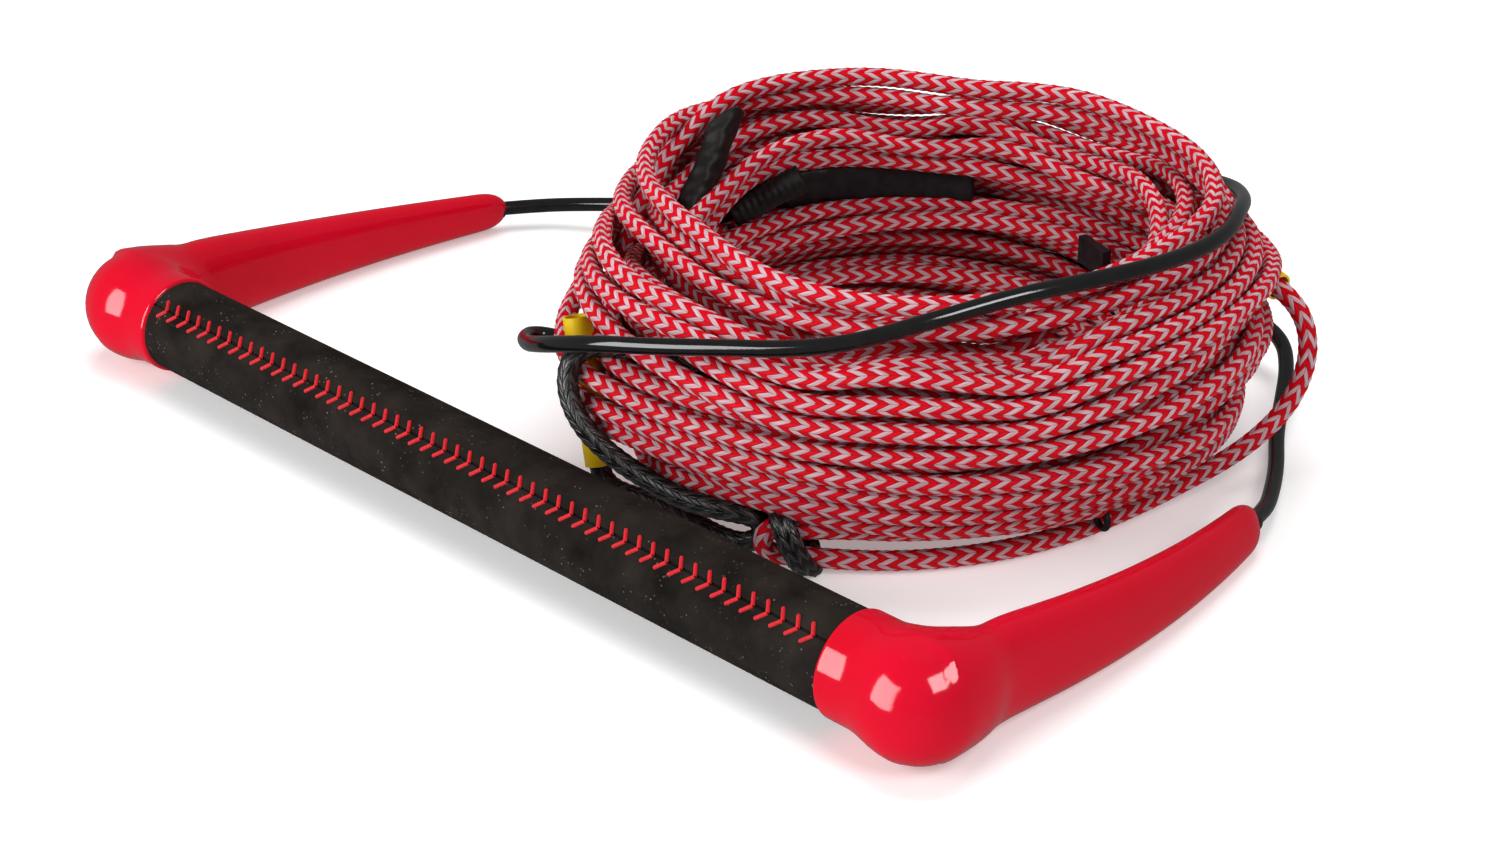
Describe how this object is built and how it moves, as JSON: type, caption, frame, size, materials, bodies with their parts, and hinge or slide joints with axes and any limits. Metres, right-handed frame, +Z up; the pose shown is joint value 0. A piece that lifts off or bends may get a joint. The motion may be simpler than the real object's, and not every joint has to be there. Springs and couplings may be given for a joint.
{
  "type": "tow rope handle",
  "caption": "Padded tow bar with two curved side arms, a coated bridle line and its coiled braided tow rope.",
  "frame": {"origin": "on the floor under the middle of the grip", "axes": "+X along the bar, +Y the way the two side arms point, +Z up"},
  "size_m": [0.381, 0.2742, 0.0905],
  "materials": {
    "bar_metal": "plain drawn tube, hidden",
    "core_foam": "closed-cell foam",
    "plug_plastic": "moulded",
    "grip_suede": "matte brushed suede with fine lint",
    "red_thread": "thick red stitching",
    "arm_red": "glossy moulded plastic",
    "liner_plastic": "hose",
    "line_black": "smooth coated line",
    "rope_red": "16-carrier braid, red with pale flecks",
    "lead_black": "black braid with a slight sheen",
    "tag_yellow": "soft satin sleeve",
    "sleeve_black": "black foam sleeve",
    "strap_black": "woven band"
  },
  "bodies": {
    "root": {"bar_tube": "bar_metal", "grip_core": "core_foam", "bar_foam_fill": "core_foam", "end_plug_left": "plug_plastic", "end_plug_right": "plug_plastic", "grip_cover": "grip_suede", "grip_stitching": "red_thread", "arm_right": "arm_red", "arm_left": "arm_red", "liner_right": "liner_plastic", "liner_left": "liner_plastic", "bridle_inner_run": "line_black", "bridle_line": "line_black", "rope_eye_run": "rope_red", "lead_rope": "lead_black", "rope_coil": "rope_red", "hitch_knot": "lead_black", "loop_sleeve_upper": "sleeve_black", "loop_sleeve_inner": "sleeve_black", "rope_keeper": "strap_black", "keeper_tab": "strap_black", "whipping_band": "strap_black"},
    "tag_left": {"section_tag_left": "tag_yellow"},
    "tag_right": {"section_tag_right": "tag_yellow"}
  },
  "joints": [
    {"name": "tag_left_turn", "type": "hinge", "parent": "root", "child": "tag_left", "pos_m": [0.0078, 0.0398, 0.01], "axis": [-0.2845, 0.0918, 0.9543], "range_deg": [-180, 180]},
    {"name": "tag_right_turn", "type": "hinge", "parent": "root", "child": "tag_right", "pos_m": [0.12695, 0.2102, 0.0551], "axis": [-0.9641, 0.1812, 0.1941], "range_deg": [-180, 180]}
  ]
}
